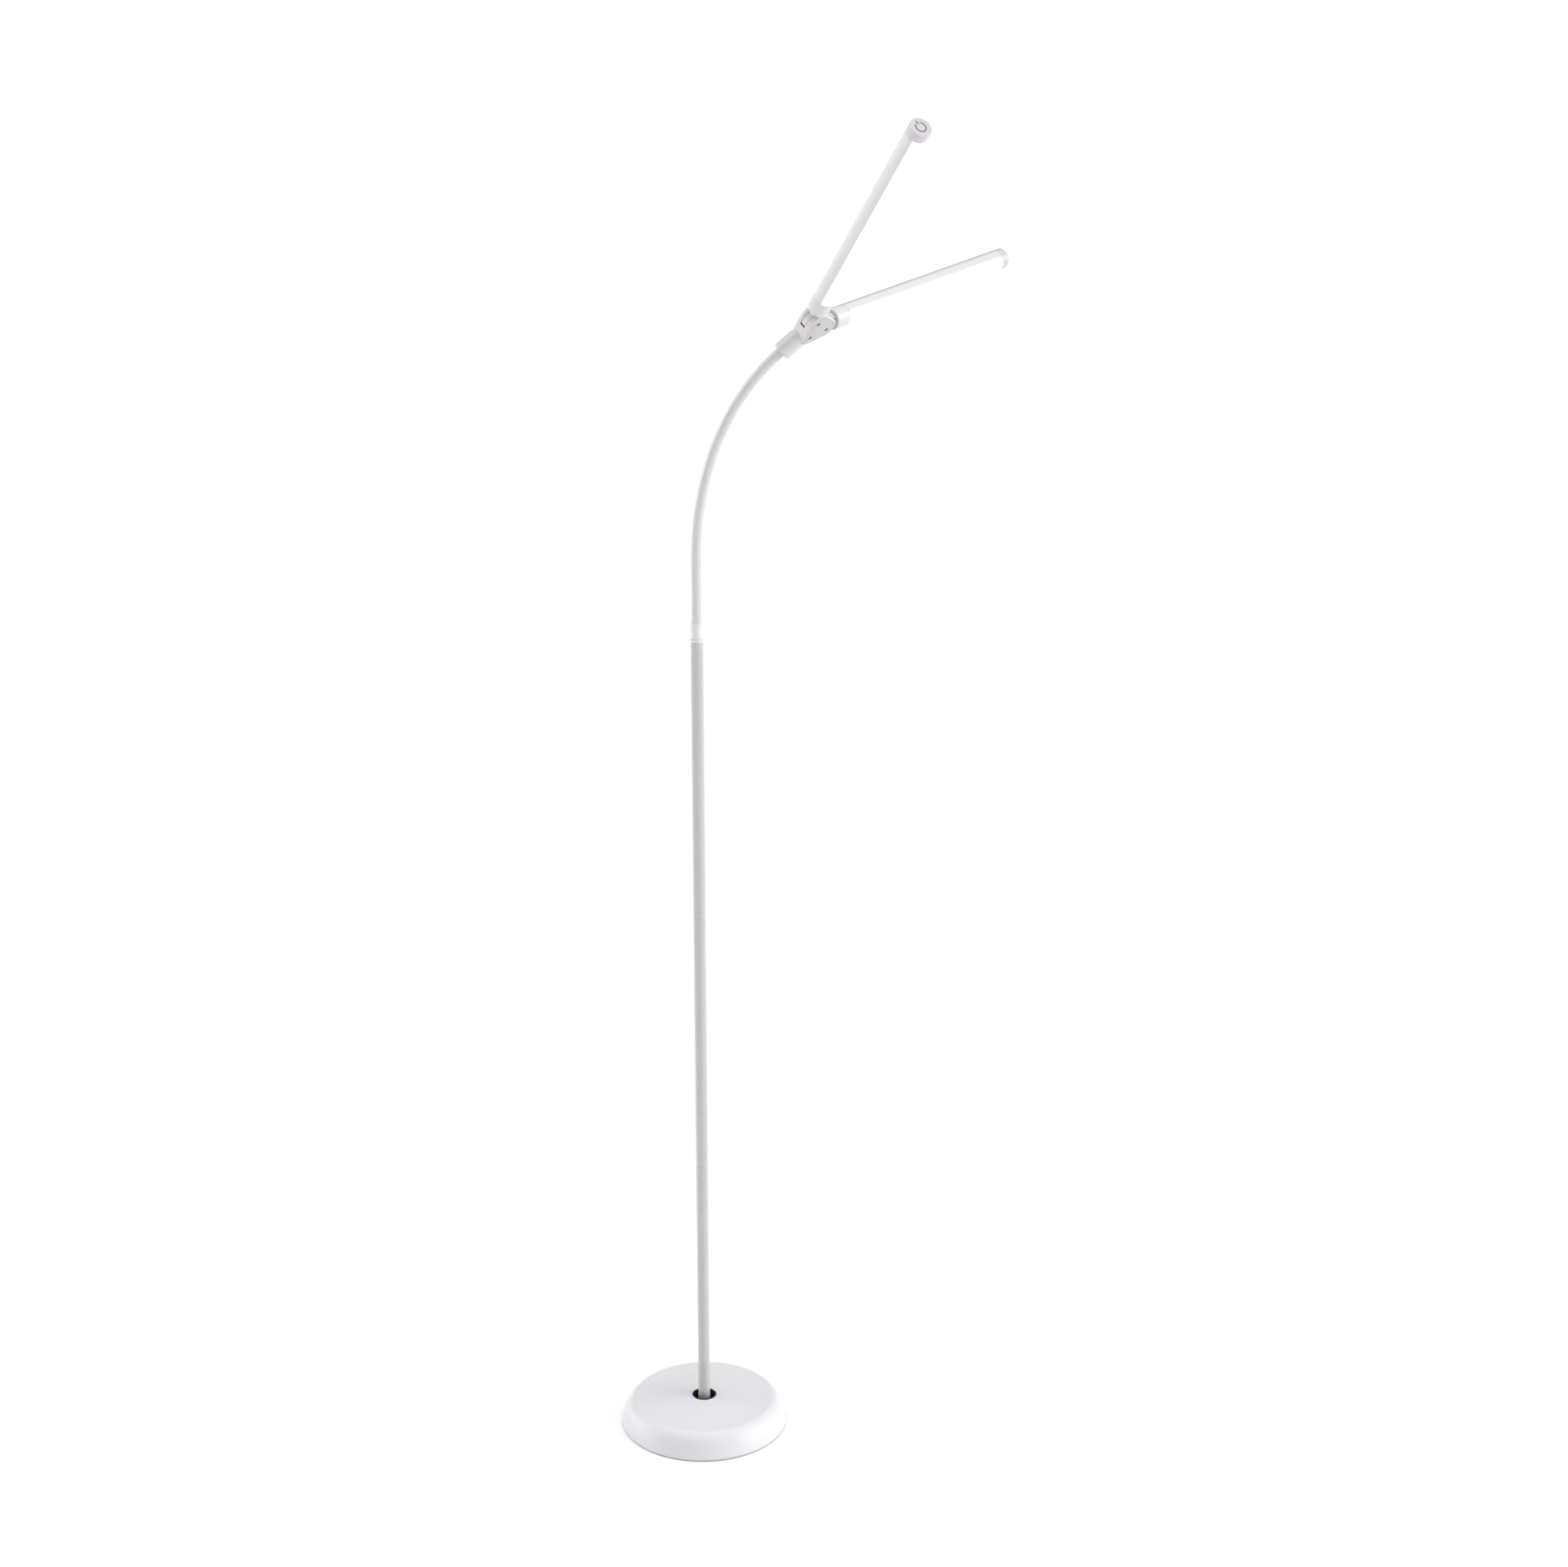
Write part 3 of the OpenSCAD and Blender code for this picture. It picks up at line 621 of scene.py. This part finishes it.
def hub_screw(n, place):
    """Screw with a round-edged head and a cross recess, its head down at the frame place."""
    face = -HUB_H + COUNTERBORE_DEPTH - SCREW_HEAD_H
    neck = face + SCREW_HEAD_H
    profile = np.vstack([
        [[0.9 * MM, face]],
        arc((SCREW_HEAD_R - 0.4 * MM, face + 0.4 * MM), 0.4 * MM, -90, 0, 6),
        [[SCREW_HEAD_R, neck], [SCREW_R, neck], [SCREW_R, 8 * MM]],
    ])
    screw = turned(f"lamp_hub_screw_{n}", profile, place, dark_steel, 48)
    wide, thin = 1.5 * MM, 0.32 * MM
    cross = np.array([(wide, thin), (thin, thin), (thin, wide), (-thin, wide), (-thin, thin), (-wide, thin),
                      (-wide, -thin), (-thin, -thin), (-thin, -wide), (thin, -wide), (thin, -thin),
                      (wide, -thin)])
    recess = [face - 1 * MM, face + 0.9 * MM]
    driver = stack("driver", [cross, cross * 0.6], recess, place, zinc_steel)
    fitted(cut(screw, [driver]), "head", "steel", "hub_screws")


def collar():
    """Collar with a socket for the neck's end, and two ears beside the hub's narrow back."""
    front, rear, edge = BACK + COLLAR_EARS, BACK - COLLAR_L, 1.3 * MM
    mouth_r, socket_r = 6.6 * MM, 8.55 * MM
    profile = np.vstack([
        np.linspace([COLLAR_R, front], [COLLAR_R, rear + edge], 8)[:-1],
        arc((COLLAR_R - edge, rear + edge), edge, 0, -90, 8),
        arc((mouth_r + 0.4 * MM, rear + 0.4 * MM), 0.4 * MM, 270, 180, 4),
        [[mouth_r, rear + 4.2 * MM], [socket_r, rear + 4.2 * MM], [socket_r, rear + 16.8 * MM]],
    ])
    piece = turned("lamp_collar", profile, HEAD, gloss_plastic, 96, along="x")
    half, reach = BACK + side_offset + 0.1 * MM, 20 * MM
    wedge = np.array([
        (BACK, -half), (BACK + reach, -half - reach), (BACK + reach, half + reach), (BACK, half),
    ])
    room = stack("room", [wedge, wedge], [-reach, reach], HEAD, gloss_plastic)
    fitted(cut(piece, [room], 40), "head", "white_plastic", "neck_collar")


def hub():
    cover = hub_halves()
    places = []
    for x, y in [(SCREW_X, 0), (pivot_x, pivot_y), (pivot_x, -pivot_y)]:
        at = HEAD.copy()
        at[:3, 3] = moved(HEAD, (x, y, 0))
        places.append(at)
    sinks, deep, shaft_r = [], -HUB_H + COUNTERBORE_DEPTH, SCREW_R + 0.05 * MM
    for at in places:
        sink = [[COUNTERBORE_R, -HUB_H - 5 * MM], [COUNTERBORE_R, deep]]
        sinks.append(turned("sink", sink, at, gloss_plastic, 48))
        shaft = [[shaft_r, deep - 1 * MM], [shaft_r, 0]]
        sinks.append(turned("shaft", shaft, at, gloss_plastic, 32))
    # Faces of the cover that look down get the darker grey: painted shade on the hub's underside.
    fitted(painted(cut(cover, sinks, 40), underside_painted_shade_plastic, -swing_axis), "head", "white_plastic", "hub_cover")
    for n, at in enumerate(places):
        hub_screw(n + 1, at)
    collar()


# ---------------------------------------------------------------- arms

ARM_R, ARM_BORE, SLEEVE_START, WINDOW_START = 12.9 * MM, 11.5 * MM, 17.3 * MM, 39 * MM
ARM_END, CAP_L, CAP_END_T = 334.5 * MM, 12 * MM, 1.5 * MM
WINDOW = 62  # half of the light window's angle, in degrees
KNUCKLE_R, KNUCKLE_HALF, TONGUE_HALF, PIN_R = 14.8 * MM, 3.6 * MM, 9 * MM, 3.05 * MM
WALL_STATIONS = 24


def knuckle_outline():
    """Disc about the pivot with a straight tongue towards the arm."""
    end = SLEEVE_START + 0.8 * MM
    side = math.degrees(math.asin(TONGUE_HALF / KNUCKLE_R))
    disc = arc((0, 0), KNUCKLE_R, side, 360 - side, 72)
    return np.vstack([disc, [[end, -TONGUE_HALF]], [[end, TONGUE_HALF]]])


def arm_wall(inner, outer):
    """Closed outline of the tube's wall beside the window, its two outer edges slightly broken."""
    tip, broken = ARM_END - CAP_L, 0.25 * MM
    stations = np.linspace(WINDOW_START + 0.3 * MM, tip - 0.3 * MM, WALL_STATIONS)
    return np.vstack([
        [[inner, WINDOW_START]], [[outer - broken, WINDOW_START]],
        np.column_stack([np.full(WALL_STATIONS, outer), stations]),
        [[outer - broken, tip]], [[inner, tip]],
    ])


def arm(n):
    place, body = ARM[n], f"arm_{n}"
    edge = 0.45 * MM
    t = np.radians(np.linspace(0, 90, 5))
    foot = edge * (1 - np.cos(t))
    rise = np.concatenate([-KNUCKLE_HALF + foot, (KNUCKLE_HALF - foot)[::-1]])
    inset = np.concatenate([edge * (1 - np.sin(t)), (edge * (1 - np.sin(t)))[::-1]])
    outlines = [drawn_in(knuckle_outline(), i) for i in inset]
    disc = stack(f"lamp_arm_{n}_knuckle", outlines, rise, place, gloss_plastic, 40)
    pin = turned("pin", [[PIN_R, -10 * MM], [PIN_R, 10 * MM]], place, gloss_plastic, 64)
    fitted(cut(disc, [pin], 40), body, "white_plastic", f"arm_{n}_knuckle")
    plug = ring_profile(1.4 * MM, ARM_BORE - 0.05 * MM, SLEEVE_START + 0.6 * MM, 34 * MM, 0.3 * MM)
    fitted(turned(f"lamp_arm_{n}_plug", plug, place, gloss_plastic, 96, along="x", ends="loop"),
           body, "white_plastic", f"arm_{n}_knuckle")

    sleeve = ring_profile(ARM_BORE, ARM_R, SLEEVE_START, WINDOW_START - 0.05 * MM, 0.5 * MM, 5)
    fitted(turned(f"lamp_arm_{n}_sleeve", sleeve, place, gloss_plastic, 128, along="x", ends="loop"),
           body, "white_plastic", f"arm_{n}_sleeve")
    shell = turned(f"lamp_arm_{n}_shell", arm_wall(ARM_BORE, ARM_R), place, arm_enamel, 96, along="x",
                   sweep=(WINDOW, 360 - WINDOW))
    fitted(shell, body, "white_paint", f"arm_{n}_shell")
    lens_wall = arm_wall(ARM_BORE + 0.1 * MM, ARM_R - 0.06 * MM)
    lens = turned(f"lamp_arm_{n}_lens", lens_wall, place, opal, 64, along="x",
                  sweep=(-WINDOW + 0.4, WINDOW - 0.4))
    fitted(lens, body, "diffuser", f"arm_{n}_lens")

    tip, edge, dish = ARM_END - CAP_L, 0.8 * MM, 0.15 * MM
    spigot_r, inside = ARM_BORE - 0.1 * MM, ARM_BORE - 1.1 * MM
    cap = np.vstack([
        [[0.02 * MM, ARM_END - CAP_END_T], [inside, ARM_END - CAP_END_T]],
        [[inside, tip - 3 * MM], [spigot_r, tip - 3 * MM], [spigot_r, tip]],
        [[ARM_R - 0.2 * MM, tip], [ARM_R, tip + 0.25 * MM]],
        np.linspace([ARM_R, tip + 0.25 * MM], [ARM_R, ARM_END - edge], 6)[1:-1],
        arc((ARM_R - edge, ARM_END - edge), edge, 0, 90, 8),
        [[ARM_R - 1.5 * MM, ARM_END], [ARM_R - 1.9 * MM, ARM_END - dish], [ARM_R / 2, ARM_END - dish],
         [1 * MM, ARM_END - dish]],
    ])
    fitted(turned(f"lamp_arm_{n}_end_cap", cap, place, cap_plastic, 128, along="x"),
           body, "white_plastic", f"arm_{n}_end_cap")


base()
pole()
neck()
hub()
for arm_number in (1, 2):
    arm(arm_number)


# ---------------------------------------------------------------- camera, light and floor

# Each lobe of the sky: direction of its middle, cosine where it starts and where it is full, amount added.
# The first is overhead, the second a bright band along the horizon, the others a panel on each side.
SKY_BASE = 0.03
SKY = [
    ((0.0, 0.0, 1.0), 0.35, 0.95, 1.45),
    ((0.0, 0.0, 1.0), 0.17, 0.09, 1.02),
    ((-0.96, 0.14, 0.24), 0.84, 0.97, 2.5),
    ((0.95, -0.12, 0.25), 0.84, 0.97, 4.0),
]


CAMERA_PLACE = (0.2490, -3.1264, 1.8473)
CAMERA_DOWN, CAMERA_LEFT = 16.935, 2.6  # degrees that it looks down and to the left
CAMERA_LENS, CAMERA_SENSOR = 60.32, 36.0


def camera():
    """Camera at the product view: 3.1 m in front of the pole, a little above the head, tilted down."""
    data = bpy.data.cameras.new("camera")
    data.sensor_width, data.lens = CAMERA_SENSOR, CAMERA_LENS
    data.clip_end = 50
    piece = bpy.data.objects.new("camera", data)
    piece.location = CAMERA_PLACE
    piece.rotation_euler = (math.radians(90 - CAMERA_DOWN), 0, math.radians(CAMERA_LEFT))
    bpy.context.scene.collection.objects.link(piece)
    bpy.context.scene.camera = piece


def studio():
    """White floor under a soft sky: bright overhead and at both sides, dark towards the front."""
    size = 60.0
    mesh = bpy.data.meshes.new("floor")
    corners = [(-size, -size, 0), (size, -size, 0), (size, size, 0), (-size, size, 0)]
    mesh.from_pydata(corners, [], [(0, 1, 2, 3)])
    material, tree, bsdf = shader("floor", (0.97, 0.97, 0.97), 0.9)
    bsdf.inputs["Specular IOR Level"].default_value = 0.0
    mesh.materials.append(material)
    floor = bpy.data.objects.new("floor", mesh)
    bpy.context.scene.collection.objects.link(floor)

    world = bpy.data.worlds.new("sky")
    world.use_nodes = True
    tree = world.node_tree
    coord = tree.nodes.new("ShaderNodeTexCoord")
    level = None
    for towards, start, end, amount in SKY:
        dot = tree.nodes.new("ShaderNodeVectorMath")
        dot.operation = "DOT_PRODUCT"
        dot.inputs[1].default_value = tuple(unit(towards))
        tree.links.new(coord.outputs["Generated"], dot.inputs[0])
        lobe = tree.nodes.new("ShaderNodeMapRange")
        lobe.interpolation_type = "SMOOTHSTEP"
        lobe.inputs["From Min"].default_value, lobe.inputs["From Max"].default_value = start, end
        lobe.inputs["To Min"].default_value, lobe.inputs["To Max"].default_value = 0, amount
        tree.links.new(dot.outputs["Value"], lobe.inputs["Value"])
        total = tree.nodes.new("ShaderNodeMath")
        total.operation = "ADD"
        total.inputs[1].default_value = SKY_BASE
        tree.links.new(lobe.outputs["Result"], total.inputs[0])
        if level is not None:
            tree.links.new(level, total.inputs[1])
        level = total.outputs["Value"]
    background = tree.nodes["Background"]
    background.inputs["Color"].default_value = (1, 1, 1, 1)
    tree.links.new(level, background.inputs["Strength"])
    bpy.context.scene.world = world
    bpy.context.scene.view_settings.view_transform = "Standard"


camera()
studio()
